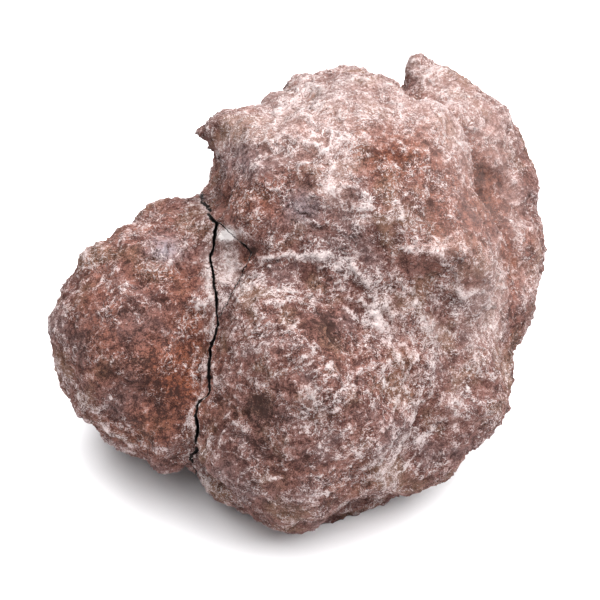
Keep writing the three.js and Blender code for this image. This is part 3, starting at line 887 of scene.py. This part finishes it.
# Dust on the crack's left lip: how far left of the crack, half-width, strength, and size of its patches.
LIP_OFFSET = 0.7
LIP_WIDTH = 0.8
LIP_DUST = 0.9
LIP_LUMPS = 4.0
LIP_DEPTHS = (-5, 5)
LIP_FOOT = (-30, -26)


def patches(points, table):
    """The summed strength of a table's patches at each point."""
    spot = pictured(points)
    shares = np.zeros(len(points))
    for centre, size, strength in table:
        shares += strength * np.exp(-(((spot - np.array(centre)) / np.array(size)) ** 2).sum(axis=1))
    return shares * smoothstep(points[:, 2], *SEEN_FADE)


def painted_groove_shade(points):
    """How much painted shade each point gets from the grooves of the far side, from 0 to 1."""
    spot = pictured(points)
    shade = np.zeros(len(points))
    for line, width, strength in SHADED_GROOVES:
        shade += strength * np.exp(-(line_distance(spot, line) / width) ** 2)
    return shade * smoothstep(points[:, 2], *GROOVE_SHADE_FADE)


def store_patches(piece):
    """Stores where the rind is rusty, grey, filmed or pale, with painted shade in the far grooves and
    painted light on what faces up. What was not seen gets patches of its own.
    """
    points = vertex_array(piece.data)
    unseen = 1 - smoothstep(points[:, 2], *SEEN_FADE)
    size, strength = WILD_RUST
    wild_rust = strength * smoothstep(noise(points, size, 21.3), 0.0, 0.5)
    # Painted shade in the grooves of the far side, partly rust.
    shade_in_grooves = painted_groove_shade(points)
    rust = patches(points, RUST_PATCHES) + unseen * wild_rust + RUST_EVERYWHERE + GROOVE_SHADE_RUST * shade_in_grooves
    store(piece.data, "rust", np.clip(rust, 0, 1))
    store(piece.data, "grey", np.clip(patches(points, GREY_PATCHES), 0, 1))
    store(piece.data, "film", patches(points, FILM_PATCHES))
    size, strength = WILD_PALE
    wild_pale = strength * noise(points, size, 31.1)
    # Painted light on what faces up the picture and toward the eye.
    painted_light_above = PAINTED_LIGHT_SHARE * vertex_array(piece.data, "normal") @ PAINTED_LIGHT_FACING
    pale = patches(points, PALE_AND_LIGHT_PATCHES) + unseen * wild_pale + painted_light_above + crack_dust(points)
    # The painted shade in the grooves is taken off the pale share.
    store(piece.data, "pale", pale - GROOVE_PAINTED_SHADE * shade_in_grooves)


def crack_dust(points):
    """Pale dust on the left lip of the crack, where it was seen."""
    spot = pictured(points)
    falling = CRACK[::-1]
    beside = spot[:, 0] - np.interp(spot[:, 1], falling[:, 1], falling[:, 0]) + LIP_OFFSET
    patchy = 0.5 + 0.5 * noise(points, LIP_LUMPS, 7.7)
    where = smoothstep(points[:, 2], *LIP_DEPTHS) * smoothstep(spot[:, 1], *LIP_FOOT)
    return LIP_DUST * patchy * np.exp(-(beside / LIP_WIDTH) ** 2) * where


def store_depth(piece):
    """Stores how far each vertex of a broken face is from the rind."""
    mesh = piece.data
    points = vertex_array(mesh)
    skin = np.empty(len(points), np.float32)
    mesh.attributes["skin"].data.foreach_get("value", skin)
    outer = points[skin > 0.5]
    tree = KDTree(len(outer))
    for i, point in enumerate(outer):
        tree.insert(point, i)
    tree.balance()
    depth = np.zeros(len(points))
    for i in np.flatnonzero(skin <= 0.5):
        depth[i] = tree.find(points[i])[2]
    store(mesh, "depth", depth)


def to_frame(piece):
    """Moves a piece from the picture's axes in millimetres to the frame in metres."""
    lay_back = Matrix.Rotation(math.pi / 2 - EYE_ELEVATION, 4, "X")
    piece.data.transform(Matrix.Scale(MM, 4) @ Matrix.Translation(PICTURE_MIDDLE) @ lay_back)


def fit_to_cad(pieces):
    """Moves what lies near the sides of the pieces' common box until that box is the frame's."""
    points = [vertex_array(piece.data) for piece in pieces]
    low = np.min([part.min(axis=0) for part in points], axis=0)
    high = np.max([part.max(axis=0) for part in points], axis=0)
    for piece, part in zip(pieces, points):
        for axis in range(3):
            start, end = cad_box[0][axis], cad_box[1][axis]
            made = (low[axis], start + BOX_MARGIN, end - BOX_MARGIN, high[axis])
            kept = (start, start + BOX_MARGIN, end - BOX_MARGIN, end)
            part[:, axis] = np.interp(part[:, axis], made, kept)
        piece.data.vertices.foreach_set("co", part.ravel())
        piece.data.update()


stone = whole_stone()
rest = rest_block()
combine(stone, rest, "INTERSECT")
right, left = crack_block(1), crack_block(-1)
main = combine(stone, right, "INTERSECT", "geode_main_stone")
lobe = combine(stone, left, "INTERSECT", "geode_left_lobe")
hole, plug = splinter_prism(SPLINTER_GAPS), splinter_prism()
splinter = combine(main, plug, "INTERSECT", "geode_splinter")
combine(main, hole, "DIFFERENCE")
discard(stone, rest, right, left, hole, plug)

rind = rind_material()
dressed = (
    (main, "geode_body", "rind"),
    (lobe, "geode_split_piece", "rind"),
    (splinter, "rind_splinter", "fresh_rind"),
)
for piece, node, slot in dressed:
    store_patches(piece)
    store_depth(piece)
    to_frame(piece)
    piece.data.materials.clear()
    piece.data.materials.append(rind)
    piece.data.shade_smooth()
    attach(piece, "root")
    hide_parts(node)
fit_to_cad([main, lobe, splinter])


def floor_material():
    """The bright, even floor."""
    s = Shader("pale_floor")
    s.link(s.mix(s.grain(30, 2), srgb(250, 250, 251), srgb(246, 246, 248)), s.bsdf.inputs["Base Color"])
    s.bsdf.inputs["Roughness"].default_value = 0.9
    s.bsdf.inputs["Specular IOR Level"].default_value = 0.1
    return s.material


FLOOR_HALF = 3
floor_corners = np.array([(-1, -1, 0), (1, -1, 0), (1, 1, 0), (-1, 1, 0)]) * FLOOR_HALF
floor = mesh_object("floor", floor_corners, [[0, 1, 2, 3]])
floor.data.materials.append(floor_material())


# The lamps: where they are in metres, how wide, and their power in watts.
LAMPS = {
    "softbox above": ((0.27, 0.06, 1.2), 2.1, 88),
    "softbox behind": ((0.5, 0.9, 0.9), 0.5, 6),
}
LIGHT_TARGET = Vector((0, 0, 0.03))


def area_light(name, place, size, power):
    """A square lamp that faces the stone."""
    lamp = bpy.data.lights.new(name, "AREA")
    lamp.size = size
    lamp.energy = power
    thing = bpy.data.objects.new(name, lamp)
    thing.location = place
    thing.rotation_euler = (LIGHT_TARGET - Vector(place)).to_track_quat("-Z", "Y").to_euler()
    bpy.context.scene.collection.objects.link(thing)


for name, (place, size, power) in LAMPS.items():
    area_light(name, place, size, power)

SKY_COLOUR = (0.97, 0.97, 1.0, 1)
SKY_STRENGTH = 0.3
world = bpy.data.worlds.new("studio")
world.use_nodes = True
background = world.node_tree.nodes["Background"]
background.inputs["Color"].default_value = SKY_COLOUR
background.inputs["Strength"].default_value = SKY_STRENGTH
bpy.context.scene.world = world
bpy.context.scene.view_settings.view_transform = "Standard"

camera = bpy.data.objects.new("camera", bpy.data.cameras.new("camera"))
towards_eye = Vector((0, -math.cos(EYE_ELEVATION), math.sin(EYE_ELEVATION)))
camera.location = (Vector(PICTURE_MIDDLE) + towards_eye * EYE_DISTANCE) * MM
camera.rotation_euler = (math.pi / 2 - EYE_ELEVATION, 0, 0)
camera.data.sensor_width = SENSOR_WIDTH
camera.data.lens = LENS
bpy.context.scene.collection.objects.link(camera)
bpy.context.scene.camera = camera
